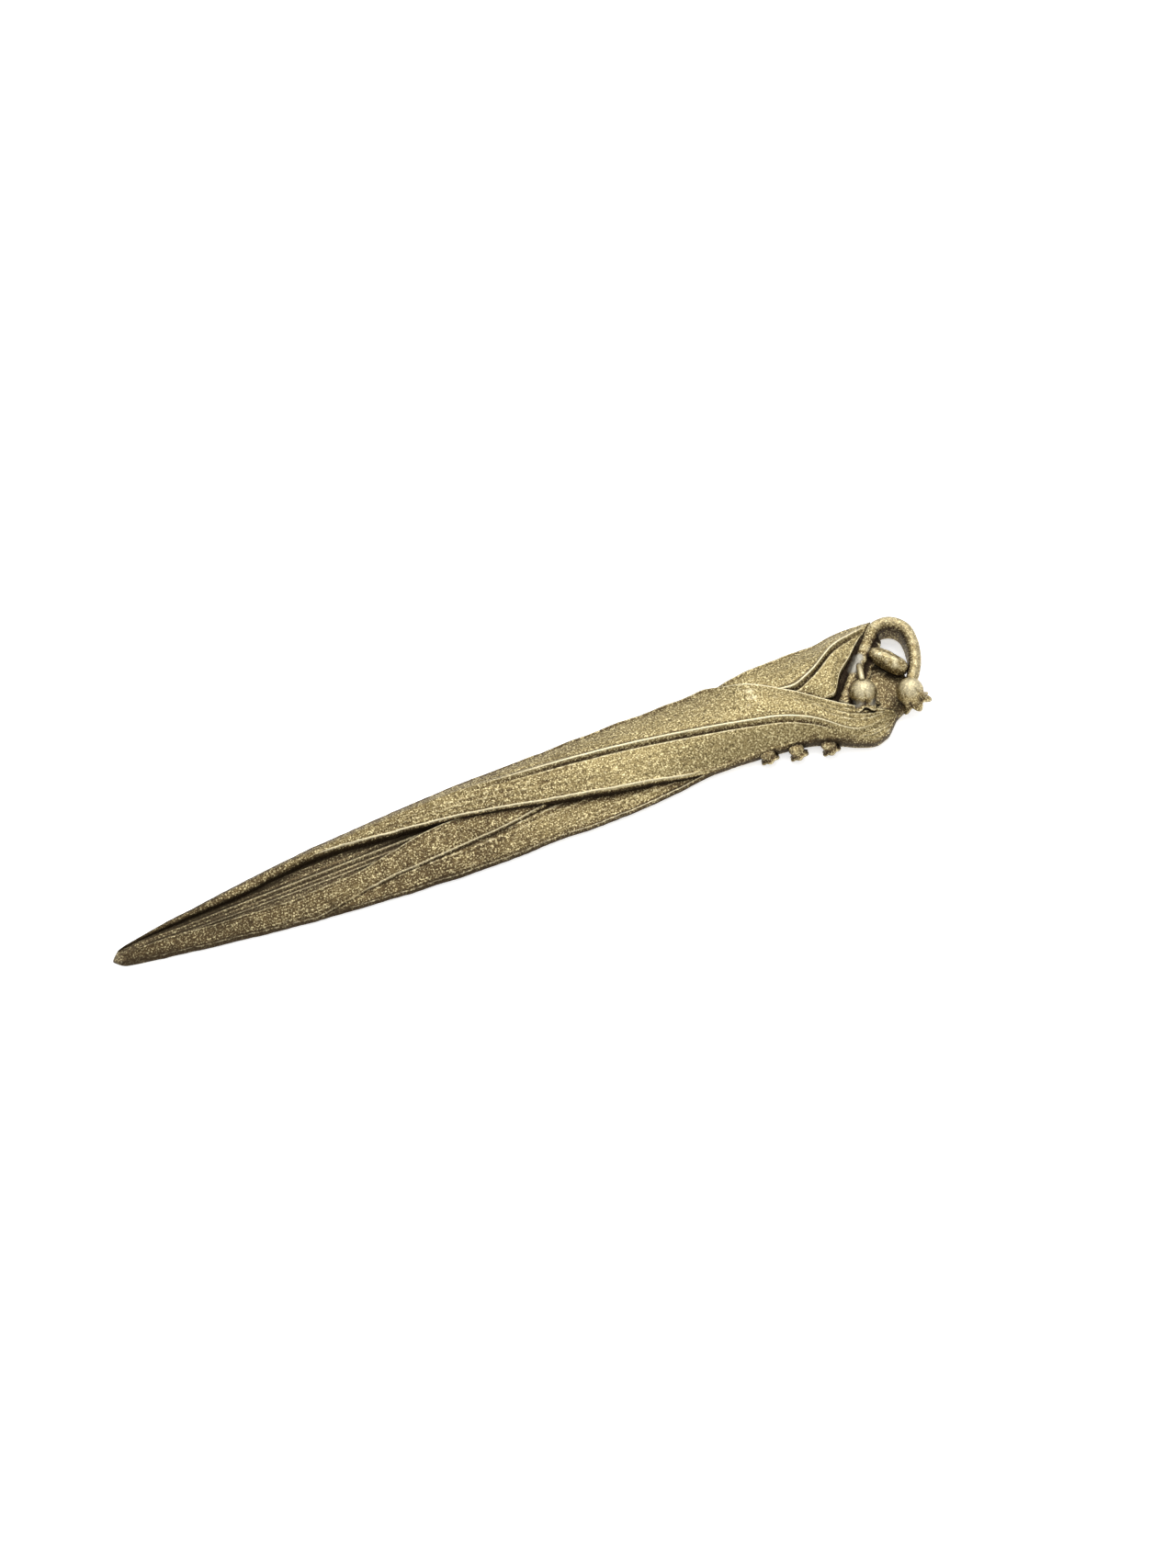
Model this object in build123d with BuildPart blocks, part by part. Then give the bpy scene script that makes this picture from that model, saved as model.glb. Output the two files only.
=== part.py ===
from build123d import *
import os

# Letter opener cast as a bundle of lily-of-the-valley leaves, with the flower stem bent into a loop.
# Millimetres. X runs from the tip to the loop, +Y is the far edge, and the flat back lies on Z = 0.

# Lengths along the opener
blade_length = 160.0  # tip to waist
handle_length = 66.0  # waist to the end of the head
loop_reach = 14.0  # end of the head to the far side of the loop

# Widths across the opener
point_width = 1.8  # the blunt end of the tip
tip_width = 5.6  # just behind the tip
blade_width = 27.0
waist_width = 24.4
head_width = 36.4

# Sideways sway of the middle line
tip_sway = -2.7
waist_sway = 2.45
head_sway = -0.25

# Heights of the leaf bundle above the flat back
tip_height = 1.5
blade_height = 6.2
waist_height = 7.2
handle_height = 9.2
head_height = 7.6

# Leaf relief
rib_width = 1.4
rib_height = 0.5
leaf_swell = 0.5  # bulge of a leaf half between its rib and its edge

# Flower stem and its loop
stem_diameter = 3.9
loop_bore = 7.3  # clear width inside the loop
loop_foot = 0.4  # height of the loop's underside above the table
stem_level = 6.2  # height of the stem's middle line
stem_run = 24.0  # straight part between the leaves
stem_heading = 48.0  # degrees from +X
tail_bend = 21.0  # radius of the drooping end of the stem
tail_turn = 46.0  # degrees
wall_share = 0.4  # share of the tail under which the loop's wall runs on
loop_side = 9.2  # sideways place of the loop's middle

# Flowers
bell_wall = 0.8
bell_lobes = 6
bell_notch = 0.8  # radius of the cut between two lobes
stalk_diameter = 1.7
stalk_rise = (0.2, 0.9, 0.25)  # way the stalk leaves the dome
right_bell_crown = 3.9  # radius of the dome
right_bell_rim = 4.3  # radius of the flared rim
right_bell_depth = 3.7  # middle of the dome to the rim
right_bell_shift = (-1.2, -2.8, 1.0)  # from the end of the stem to the middle of the dome
right_bell_mouth = (0.27, -0.56, -0.78)
left_bell_crown = 4.0
left_bell_rim = 4.4
left_bell_depth = 3.2
left_bell_level = 7.0
left_bell_mouth = (-0.15, -0.6, -0.78)
side_bell_crown = 2.3
side_bell_rim = 2.7
side_bell_depth = 2.2
side_bell_level = 3.6
side_bell_mouth = (0.2, -0.6, -0.77)
bud_width = 5.0
bud_length = 11.2
bud_shift = (-3.15, -6.3, 0.15)  # from the loop's middle to the middle of the bud
bud_axis = (0.58, -0.81, 0)

tip_x = -(blade_length + handle_length + loop_reach) / 2


def along(blade_share, handle_share=0.0):
    return tip_x + blade_share * blade_length + handle_share * handle_length


def smooth(points, place):
    """Value at a place of the smooth curve through (place, value) points."""
    if place <= points[0][0]:
        return points[0][1]
    if place >= points[-1][0]:
        return points[-1][1]
    steps = [b[0] - a[0] for a, b in zip(points, points[1:])]
    rises = [(b[1] - a[1]) / step for a, b, step in zip(points, points[1:], steps)]
    slopes = [rises[0]]
    for before, after in zip(rises, rises[1:]):
        slopes.append(2 * before * after / (before + after) if before * after > 0 else 0.0)
    slopes.append(rises[-1])
    i = max(k for k in range(len(steps)) if points[k][0] <= place)
    t = (place - points[i][0]) / steps[i]
    start = (1 + 2 * t) * (1 - t) ** 2 * points[i][1] + t * (1 - t) ** 2 * steps[i] * slopes[i]
    end = t * t * (3 - 2 * t) * points[i + 1][1] - t * t * (1 - t) * steps[i] * slopes[i + 1]
    return start + end


# The bundle as a whole: middle line, half width and height along X
sway_line = [
    (along(0), tip_sway),
    (along(0.4), 0.56 * tip_sway),
    (along(0.72), 0.1 * tip_sway),
    (along(1), waist_sway),
    (along(1, 0.45), waist_sway),
    (along(1, 0.83), head_sway),
    (along(1, 1), head_sway),
]
half_widths = [
    (along(0), point_width / 2),
    (along(0.02), tip_width / 2),
    (along(0.145), 0.45 * blade_width / 2),
    (along(0.39), 0.81 * blade_width / 2),
    (along(0.7), blade_width / 2),
    (along(1), waist_width / 2),
    (along(1, 0.48), (waist_width + 0.35 * (head_width - waist_width)) / 2),
    (along(1, 0.83), head_width / 2),
    (along(1, 1), 0.95 * head_width / 2),
]
heights = [
    (along(0), tip_height),
    (along(0.125), tip_height + 0.3 * (blade_height - tip_height)),
    (along(0.375), tip_height + 0.65 * (blade_height - tip_height)),
    (along(0.75), blade_height),
    (along(1), waist_height),
    (along(1, 0.7), handle_height),
    (along(1, 1), head_height),
]


def across(x, share):
    return smooth(sway_line, x) + share * smooth(half_widths, x)


def section_plane(x):
    return Plane(origin=(x, 0, 0), x_dir=(0, 1, 0), z_dir=(1, 0, 0))


# Shares of the local height
ground_low = 0.12  # underside of the ground's edge
ground_high = 0.27  # top of the ground's edge
leaf_under = 0.195  # underside of a leaf that stands over the ground's edge
leaf_root = 0.16  # how deep a leaf is rooted in the ground
ground_tops = [
    (along(0), 1.0),
    (along(0.06), 0.7),
    (along(0.14), 0.42),
    (along(0.25), 0.36),
    (along(1), 0.4),
    (along(1, 0.84), 0.44),
    (along(1, 0.94), 0.58),
    (along(1, 1), 0.56),
    (along(1, 1.1), 0.44),
]

# Shares of the half width: edges of the ground, which runs on beyond the head as a tongue under the flowers
ground_far = [
    (along(0), 1.0),
    (along(0.1), 0.92),
    (along(1, 0.75), 0.92),
    (along(1, 0.94), 0.84),
    (along(1, 1), 0.66),
    (along(1, 1.03), 0.36),
    (along(1, 1.06), 0.26),
    (along(1, 1.1), 0.1),
]
ground_near = [
    (along(0), -1.0),
    (along(0.1), -0.92),
    (along(0.72), -0.92),
    (along(0.86), -1.06),
    (along(0.94), -1.1),
    (along(1), -1.05),
    (along(1, 0.18), -0.9),
    (along(1, 0.35), -0.8),
    (along(1, 0.64), -0.7),
    (along(1, 0.78), -0.8),
    (along(1, 0.85), -0.9),
    (along(1, 0.94), -0.8),
    (along(1, 1), -0.7),
    (along(1, 1.05), -0.6),
    (along(1, 1.1), -0.45),
]
flat_back = 0.5  # share of the ground's edge that lies on the table


def ground_section(x):
    height = smooth(heights, x)
    top = smooth(ground_tops, x) * height
    far = across(x, smooth(ground_far, x))
    near = across(x, smooth(ground_near, x))
    middle = (far + near) / 2
    flat = flat_back * (far - near) / 2
    shoulder = 0.6 * (far - near) / 2
    with BuildSketch(section_plane(x)) as section:
        with BuildLine():
            Polyline(
                (near, ground_high * height),
                (near, ground_low * height),
                (middle - flat, 0),
                (middle + flat, 0),
                (far, ground_low * height),
                (far, ground_high * height),
            )
            Spline(
                (far, ground_high * height),
                (middle + shoulder, 0.9 * top),
                (middle, top),
                (middle - shoulder, 0.9 * top),
                (near, ground_high * height),
            )
        make_face()
    return section.sketch


# Midrib of the open valley near the tip
valley_rib_line = [
    (along(0.03), 0.4),
    (along(0.16), 0.3),
    (along(0.4), 0.23),
    (along(0.62), 0.25),
]
valley_rib_rise = 0.9


def valley_rib_section(x):
    middle = across(x, smooth(valley_rib_line, x))
    foot = leaf_root * smooth(heights, x)
    crown = smooth(ground_tops, x) * smooth(heights, x) + valley_rib_rise
    with BuildSketch(section_plane(x)) as section:
        with BuildLine():
            ThreePointArc((middle - rib_width, foot), (middle, crown), (middle + rib_width, foot))
            Line((middle + rib_width, foot), (middle - rib_width, foot))
        make_face()
    return section.sketch


blade_stations = [along(s) for s in (0, 0.012, 0.04, 0.1, 0.18, 0.28, 0.42, 0.56, 0.7, 0.8, 0.87, 0.94, 1)]
blade_stations += [along(1, s) for s in (0.12, 0.25, 0.4, 0.55, 0.7, 0.8, 0.87, 0.94, 1, 1.03, 1.06, 1.1)]

with BuildPart() as blade:
    loft(sections=[ground_section(x) for x in blade_stations], ruled=True)
    loft(sections=[valley_rib_section(along(s)) for s in (0.08, 0.16, 0.28, 0.4, 0.5, 0.6)], ruled=True)
blade.part.label = "blade"


def leaf_section(x, leaf):
    """Cross section of a leaf: two swelling halves from its edges to its midrib, and a root in the ground."""
    height = smooth(heights, x)
    far = Vector(across(x, smooth(leaf["far"], x)), smooth(leaf["far_top"], x) * height)
    near = Vector(across(x, smooth(leaf["near"], x)), smooth(leaf["near_top"], x) * height)
    rib = Vector(across(x, smooth(leaf["rib"], x)), smooth(leaf["rib_top"], x) * height)
    half_rib = Vector(smooth(leaf["rib_size"], x) * rib_width / 2, 0)
    rise = Vector(0, smooth(leaf["rib_size"], x) * rib_height)
    swell = Vector(0, leaf_swell * smooth(leaf["swell"], x))
    far_under = Vector(far.X, smooth(leaf["far_under"], x) * height)
    near_under = Vector(near.X, smooth(leaf["near_under"], x) * height)
    root = Vector(rib.X, smooth(leaf["root"], x) * height)
    with BuildSketch(section_plane(x)) as section:
        with BuildLine():
            Polyline(near, near_under, root, far_under, far)
            Spline(far, (far + rib + half_rib) / 2 + swell, rib + half_rib)
            ThreePointArc(rib + half_rib, rib + rise, rib - half_rib)
            Spline(rib - half_rib, (near + rib - half_rib) / 2 + swell, near)
        make_face()
    return section.sketch


# The broad leaf that wraps the head and runs along the far edge to the tip
wrap_shape = {
    "far": [
        (along(0.03), 0.92),
        (along(0.15), 1.0),
        (along(1, 0.25), 1.0),
        (along(1, 0.36), 0.78),
        (along(1, 0.6), 0.16),
        (along(1, 0.8), -0.28),
        (along(1, 0.985), -0.6),
    ],
    "near": [
        (along(0.03), 0.66),
        (along(0.14), 0.62),
        (along(0.24), 0.54),
        (along(0.36), 0.63),
        (along(0.5), 0.42),
        (along(0.68), 0.07),
        (along(0.82), -0.36),
        (along(0.93), -0.74),
        (along(1, 0.16), -1.0),
        (along(1, 0.3), -0.93),
        (along(1, 0.45), -0.86),
        (along(1, 0.63), -0.77),
        (along(1, 0.7), -0.81),
        (along(1, 0.78), -0.95),
        (along(1, 0.85), -1.01),
        (along(1, 0.91), -0.96),
        (along(1, 0.985), -0.74),
    ],
    "rib": [
        (along(0.03), 0.79),
        (along(0.24), 0.8),
        (along(0.62), 0.74),
        (along(0.78), 0.56),
        (along(1), 0.1),
        (along(1, 0.42), -0.32),
        (along(1, 0.62), -0.52),
        (along(1, 0.8), -0.78),
        (along(1, 0.985), -0.67),
    ],
    "far_top": [
        (along(0.03), 0.7),
        (along(0.2), 0.45),
        (along(1, 0.25), 0.42),
        (along(1, 0.45), 0.88),
        (along(1, 0.9), 0.66),
        (along(1, 0.985), 0.5),
    ],
    "near_top": [
        (along(0.03), 0.85),
        (along(0.9), 0.8),
        (along(1, 0.2), 0.42),
        (along(1, 0.9), 0.5),
        (along(1, 0.985), 0.4),
    ],
    "rib_top": [
        (along(0.03), 0.9),
        (along(0.5), 0.96),
        (along(1, 0.6), 0.98),
        (along(1, 0.8), 0.78),
        (along(1, 0.92), 0.66),
        (along(1, 0.985), 0.48),
    ],
    "rib_size": [
        (along(0.5), 0.2),
        (along(0.66), 0.6),
        (along(0.85), 1.0),
        (along(1, 0.6), 1.0),
        (along(1, 0.85), 0.3),
    ],
    "swell": [
        (along(0.03), 0.1),
        (along(0.4), 0.7),
        (along(1), 1.0),
        (along(1, 0.5), 1.6),
        (along(1, 0.985), 0.3),
    ],
    "far_under": [(along(1, 0.25), leaf_under), (along(1, 0.45), leaf_root)],
    "near_under": [(along(0.85), leaf_root), (along(1, 0.1), leaf_under)],
    "root": [(along(0), leaf_root), (along(1, 1), leaf_root)],
}
wrap_stations = [along(s) for s in (0.03, 0.1, 0.2, 0.3, 0.42, 0.55, 0.68, 0.82, 0.93)]
wrap_stations += [along(1, s) for s in (0.1, 0.25, 0.4, 0.55, 0.66, 0.75, 0.83, 0.91, 0.96, 0.985)]

with BuildPart() as wrap_leaf:
    loft(sections=[leaf_section(x, wrap_shape) for x in wrap_stations], ruled=True)
    add(blade.part, mode=Mode.SUBTRACT)
wrap_leaf.part.label = "wrap_leaf"

# The leaf behind it, which sweeps up to the loop with its near edge free
upper_shape = {
    "far": [
        (along(1, 0.27), 0.85),
        (along(1, 0.5), 1.0),
        (along(1, 0.78), 0.95),
        (along(1, 0.95), 1.07),
        (along(1, 1.02), 1.08),
        (along(1, 1.06), 1.04),
    ],
    "near": [
        (along(1, 0.27), 0.5),
        (along(1, 0.5), 0.1),
        (along(1, 0.68), -0.15),
        (along(1, 0.76), -0.12),
        (along(1, 0.83), 0.2),
        (along(1, 0.9), 0.43),
        (along(1, 0.97), 0.7),
        (along(1, 1.06), 0.98),
    ],
    "rib": [
        (along(1, 0.27), 0.65),
        (along(1, 0.5), 0.3),
        (along(1, 0.61), 0.22),
        (along(1, 0.7), 0.36),
        (along(1, 0.86), 0.73),
        (along(1, 1.06), 1.01),
    ],
    "far_top": [(along(1, 0.27), 0.4), (along(1, 0.9), 0.4), (along(1, 1.06), 0.6)],
    "near_top": [
        (along(1, 0.27), 0.5),
        (along(1, 0.65), 0.6),
        (along(1, 0.78), 0.82),
        (along(1, 1.06), 0.75),
    ],
    "rib_top": [
        (along(1, 0.27), 0.55),
        (along(1, 0.5), 0.7),
        (along(1, 0.62), 0.82),
        (along(1, 0.8), 0.88),
        (along(1, 1.06), 0.72),
    ],
    "rib_size": [(along(1, 0.27), 0.2), (along(1, 0.6), 1.0), (along(1, 0.85), 1.0), (along(1, 1.06), 0.2)],
    "swell": [(along(1, 0.27), 0.4), (along(1, 0.6), 1.0), (along(1, 0.9), 0.6), (along(1, 1.06), 0.1)],
    "far_under": [(along(1, 0.9), leaf_under), (along(1, 1.06), 0.4)],
    "near_under": [(along(1, 0.9), leaf_root), (along(1, 1.06), 0.4)],
    "root": [(along(1, 0.9), leaf_root), (along(1, 1.06), 0.4)],
}
upper_stations = [along(1, s) for s in (0.27, 0.4, 0.52, 0.62, 0.7, 0.77, 0.84, 0.91, 0.97, 1.02, 1.06)]

with BuildPart() as upper_leaf:
    loft(sections=[leaf_section(x, upper_shape) for x in upper_stations], ruled=True)
    add(blade.part, mode=Mode.SUBTRACT)
    add(wrap_leaf.part, mode=Mode.SUBTRACT)
upper_leaf.part.label = "upper_leaf"

# The leaf that comes out from under the wrapping leaf and forms the near half of the blade
inner_shape = {
    "far": [
        (along(0.03), 0.2),
        (along(0.07), 0.16),
        (along(0.175), -0.11),
        (along(0.29), -0.23),
        (along(0.43), -0.13),
        (along(0.5), 0.06),
        (along(0.6), 0.25),
        (along(0.8), 0.2),
    ],
    "near": [
        (along(0.03), -0.95),
        (along(0.12), -1.0),
        (along(0.33), -1.0),
        (along(0.4), -0.8),
        (along(0.49), -0.57),
        (along(0.6), -0.44),
        (along(0.72), -0.33),
        (along(0.8), -0.2),
    ],
    "rib": [
        (along(0.03), -0.4),
        (along(0.3), -0.6),
        (along(0.5), -0.28),
        (along(0.65), -0.1),
        (along(0.8), 0.0),
    ],
    "far_top": [(along(0.03), 0.9), (along(0.15), 0.74), (along(0.4), 0.68), (along(0.8), 0.6)],
    "near_top": [
        (along(0.03), 0.7),
        (along(0.12), 0.42),
        (along(0.34), 0.34),
        (along(0.5), 0.47),
        (along(0.8), 0.56),
    ],
    "rib_top": [(along(0.03), 0.88), (along(0.15), 0.7), (along(0.4), 0.64), (along(0.8), 0.62)],
    "rib_size": [(along(0.03), 0.2), (along(0.8), 0.2)],
    "swell": [(along(0.03), 0.1), (along(0.3), 0.5), (along(0.8), 0.3)],
    "far_under": [(along(0), leaf_root), (along(1), leaf_root)],
    "near_under": [(along(0.33), leaf_under), (along(0.4), leaf_root)],
    "root": [(along(0), leaf_root), (along(1), leaf_root)],
}
inner_stations = [along(s) for s in (0.03, 0.08, 0.15, 0.24, 0.33, 0.41, 0.49, 0.58, 0.68, 0.8)]

with BuildPart() as inner_leaf:
    loft(sections=[leaf_section(x, inner_shape) for x in inner_stations], ruled=True)
    add(blade.part, mode=Mode.SUBTRACT)
    add(wrap_leaf.part, mode=Mode.SUBTRACT)
inner_leaf.part.label = "inner_leaf"

# The leaf along the near edge
under_shape = {
    "far": [
        (along(0.34), -0.85),
        (along(0.47), -0.3),
        (along(0.62), -0.1),
        (along(0.87), 0.0),
        (along(1, 0.24), -0.3),
    ],
    "near": [
        (along(0.34), -0.985),
        (along(0.4), -1.0),
        (along(0.76), -1.0),
        (along(0.86), -1.15),
        (along(0.94), -1.21),
        (along(1), -1.16),
        (along(1, 0.09), -1.08),
        (along(1, 0.18), -0.99),
        (along(1, 0.24), -0.9),
    ],
    "rib": [(along(0.34), -0.92), (along(0.47), -0.7), (along(0.87), -0.7), (along(1, 0.24), -0.6)],
    "far_top": [(along(0.34), 0.4), (along(0.6), 0.45), (along(1, 0.24), 0.42)],
    "near_top": [(along(0.34), 0.33), (along(1, 0.24), 0.33)],
    "rib_top": [(along(0.34), 0.38), (along(0.6), 0.44), (along(1, 0.24), 0.4)],
    "rib_size": [(along(0.34), 0.2), (along(1, 0.24), 0.2)],
    "swell": [(along(0.34), 0.1), (along(0.6), 0.3), (along(1, 0.24), 0.2)],
    "far_under": [(along(0), leaf_root), (along(1), leaf_root)],
    "near_under": [(along(0), leaf_under), (along(1), leaf_under)],
    "root": [(along(0), leaf_root), (along(1), leaf_root)],
}
under_stations = [along(s) for s in (0.34, 0.4, 0.47, 0.58, 0.7, 0.78, 0.86, 0.94)]
under_stations += [along(1, s) for s in (0, 0.09, 0.18, 0.24)]

with BuildPart() as under_leaf:
    loft(sections=[leaf_section(x, under_shape) for x in under_stations], ruled=True)
    add(blade.part, mode=Mode.SUBTRACT)
    add(wrap_leaf.part, mode=Mode.SUBTRACT)
    add(inner_leaf.part, mode=Mode.SUBTRACT)
under_leaf.part.label = "under_leaf"

# Flower stem: a straight run out of the leaves, the loop, which stands on a wall, and a drooping tail
loop_radius = (loop_bore + stem_diameter) / 2
loop_middle = Vector(along(1, 1) + loop_reach - stem_diameter / 2 - loop_radius, loop_side, stem_level)
run_direction = Vector(1, 0, 0).rotate(Axis.Z, stem_heading)
loop_start = loop_middle + run_direction.rotate(Axis.Z, 90) * loop_radius

with BuildPart() as stem_blank:
    with BuildLine() as stem_line:
        run = Line(loop_start - run_direction * stem_run, loop_start)
        ring = JernArc(run @ 1, run % 1, loop_radius, -stem_heading - 90)
        tail = JernArc(ring @ 1, ring % 1, tail_bend, -tail_turn)
    with BuildSketch(Plane(origin=run @ 0, z_dir=run % 0)):
        Circle(stem_diameter / 2)
    sweep()
    with BuildLine() as wall_line:
        wall_ring = JernArc(run @ 1, run % 1, loop_radius, -stem_heading - 90)
        JernArc(wall_ring @ 1, wall_ring % 1, tail_bend, -wall_share * tail_turn)
    with BuildSketch(Plane(origin=wall_ring @ 0, x_dir=(0, 0, 1), z_dir=wall_ring % 0)):
        Rectangle(stem_level - loop_foot, stem_diameter, align=(Align.MAX, Align.CENTER))
    sweep()
stem_end = tail @ 1


def bell(crown, rim, depth):
    """A hanging flower about its dome's middle, mouth along +Z: dome, drawn-in neck and lobed rim."""
    neck = Vector(0.86 * crown, 0.58 * depth)
    throat = Vector(0.45 * crown, 0.3 * depth)
    with BuildPart() as flower:
        with BuildSketch(Plane.XZ):
            with BuildLine():
                Line((0, throat.Y), (0, -crown))
                ThreePointArc((0, -crown), Vector(crown, 0).rotate(Axis.Z, -45), (crown, 0))
                Spline((crown, 0), neck, (rim, depth))
                Line((rim, depth), (rim - bell_wall, depth))
                Line((rim - bell_wall, depth), throat)
                Line(throat, (0, throat.Y))
            make_face()
        revolve(axis=Axis.Z)
        with BuildSketch(Plane.XY.offset(depth)):
            with PolarLocations(rim + bell_notch / 3, bell_lobes):
                Circle(bell_notch)
        extrude(amount=-2 * bell_notch, mode=Mode.SUBTRACT)
    return flower.part


with BuildPart() as right_bell:
    with Locations(Plane(origin=stem_end + Vector(right_bell_shift), z_dir=right_bell_mouth)):
        add(bell(right_bell_crown, right_bell_rim, right_bell_depth))
    add(blade.part, mode=Mode.SUBTRACT)
    add(wrap_leaf.part, mode=Mode.SUBTRACT)
right_bell.part.label = "right_bell"

with BuildPart() as flower_stem:
    add(stem_blank.part)
    for neighbour in (blade, wrap_leaf, upper_leaf, right_bell):
        add(neighbour.part, mode=Mode.SUBTRACT)
flower_stem.part.label = "flower_stem"

left_bell_x = along(1, 0.882)
left_bell_middle = Vector(left_bell_x, across(left_bell_x, -0.22), left_bell_level)
left_bell_crown_end = left_bell_middle - Vector(left_bell_mouth).normalized() * left_bell_crown

with BuildPart() as left_bell:
    with Locations(Plane(origin=left_bell_middle, z_dir=left_bell_mouth)):
        add(bell(left_bell_crown, left_bell_rim, left_bell_depth))
    for neighbour in (blade, wrap_leaf, upper_leaf, flower_stem):
        add(neighbour.part, mode=Mode.SUBTRACT)
left_bell.part.label = "left_bell"

with BuildPart() as left_bell_stalk:
    with BuildLine() as stalk_line:
        stalk = TangentArc(left_bell_crown_end, run @ 0.55, tangent=stalk_rise)
    with BuildSketch(Plane(origin=stalk @ 0, z_dir=stalk % 0)):
        Circle(stalk_diameter / 2)
    sweep()
    add(flower_stem.part, mode=Mode.SUBTRACT)
    add(left_bell.part, mode=Mode.SUBTRACT)
left_bell_stalk.part.label = "left_bell_stalk"

# The closed flower across the loop
bud_plane = Plane(origin=loop_middle + Vector(bud_shift), x_dir=bud_axis, z_dir=(0, 0, 1))
with BuildPart() as bud:
    with BuildSketch(bud_plane):
        with BuildLine():
            outline = EllipticalCenterArc((0, 0), bud_length / 2, bud_width / 2, 0, arc_size=180)
            Line(outline @ 1, outline @ 0)
        make_face()
    revolve(axis=Axis(bud_plane.origin, bud_plane.x_dir))
    for neighbour in (blade, upper_leaf, flower_stem, right_bell, left_bell, left_bell_stalk):
        add(neighbour.part, mode=Mode.SUBTRACT)
bud.part.label = "bud"

# The flowers that peep out under the near edge, at shares of the handle and of the half width
side_bells = []
side_bell_places = [(0.41, -0.89), (0.53, -0.945), (0.665, -0.866)]
for number, (handle_share, width_share) in enumerate(side_bell_places, start=1):
    x = along(1, handle_share)
    with BuildPart() as side_bell:
        with Locations(Plane(origin=(x, across(x, width_share), side_bell_level), z_dir=side_bell_mouth)):
            add(bell(side_bell_crown, side_bell_rim, side_bell_depth))
        add(blade.part, mode=Mode.SUBTRACT)
        add(wrap_leaf.part, mode=Mode.SUBTRACT)
    side_bell.part.label = f"side_bell_{number}"
    side_bells.append(side_bell)

pieces = [blade, wrap_leaf, upper_leaf, inner_leaf, under_leaf]
pieces += [flower_stem, right_bell, left_bell, left_bell_stalk, bud] + side_bells
os.makedirs("parts", exist_ok=True)
for piece in pieces:
    export_step(piece.part, f"parts/{piece.part.label}.step")
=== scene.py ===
import bisect
import math

import bmesh
import bpy
import numpy as np
from mathutils import Matrix, Vector, noise
from mathutils.bvhtree import BVHTree


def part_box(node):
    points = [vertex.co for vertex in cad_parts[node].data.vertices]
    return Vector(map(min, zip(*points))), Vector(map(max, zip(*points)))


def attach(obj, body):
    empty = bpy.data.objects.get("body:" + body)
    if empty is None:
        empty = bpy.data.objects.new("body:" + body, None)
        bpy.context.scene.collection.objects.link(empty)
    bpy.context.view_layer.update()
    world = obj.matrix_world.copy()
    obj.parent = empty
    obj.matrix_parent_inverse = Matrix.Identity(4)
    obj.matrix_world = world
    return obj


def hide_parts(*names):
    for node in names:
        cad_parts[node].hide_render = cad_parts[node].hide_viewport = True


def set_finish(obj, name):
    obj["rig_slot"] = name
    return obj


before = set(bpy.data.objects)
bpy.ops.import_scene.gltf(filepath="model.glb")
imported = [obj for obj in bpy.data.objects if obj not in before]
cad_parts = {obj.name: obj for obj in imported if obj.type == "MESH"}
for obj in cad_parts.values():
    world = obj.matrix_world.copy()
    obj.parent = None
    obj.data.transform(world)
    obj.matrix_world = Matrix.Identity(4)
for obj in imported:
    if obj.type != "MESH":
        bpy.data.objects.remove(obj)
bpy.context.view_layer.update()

# Letter opener cast as a bundle of lily-of-the-valley leaves.
# Pieces are shaped in millimetres and scaled to metres.
mm = 0.001
groundLow, groundHigh = (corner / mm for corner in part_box("blade"))
stemLow, stemHigh = (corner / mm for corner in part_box("flower_stem"))
print("frame loaded, ground from", round(groundLow.x, 2), "to", round(groundHigh.x, 2), "mm")

# Sizes of the whole bundle; stations run 0 at the tip, 1 at the waist, 2 at the end of the head
bundle = {
    "blade": 160.0,  # tip to waist
    "handle": 66.0,  # waist to the end of the head
    "pointWidth": 1.8,
    "tipWidth": 5.6,
    "bladeWidth": 27.0,
    "waistWidth": 24.4,
    "headWidth": 36.4,
    "tipSway": -2.7,
    "waistSway": 2.45,
    "headSway": -0.25,
    "tipHeight": 1.5,
    "bladeHeight": 6.2,
    "waistHeight": 7.2,
    "handleHeight": 9.2,
    "headHeight": 7.6,
}


def along(station):
    return groundLow.x + min(station, 1) * bundle["blade"] + max(station - 1, 0) * bundle["handle"]


def curve(*points):
    # smooth line through (station, value) points, read by its place in millimetres
    places = [along(station) for station, value in points]
    values = [value for station, value in points]
    steps = [b - a for a, b in zip(places, places[1:])]
    rises = [(b - a) / step for a, b, step in zip(values, values[1:], steps)]
    bends = [2 * a * b / (a + b) if a * b > 0 else 0.0 for a, b in zip(rises, rises[1:])]
    slopes = rises[:1] + bends + rises[-1:]

    def read(place):
        if place <= places[0]:
            return values[0]
        if place >= places[-1]:
            return values[-1]
        i = bisect.bisect_right(places, place) - 1
        t = (place - places[i]) / steps[i]
        start = (1 + 2 * t) * (1 - t) ** 2 * values[i] + t * (1 - t) ** 2 * steps[i] * slopes[i]
        end = t * t * (3 - 2 * t) * values[i + 1] - t * t * (1 - t) * steps[i] * slopes[i + 1]
        return start + end

    return read


def between(low, high, share):
    return low + (high - low) * share


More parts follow.
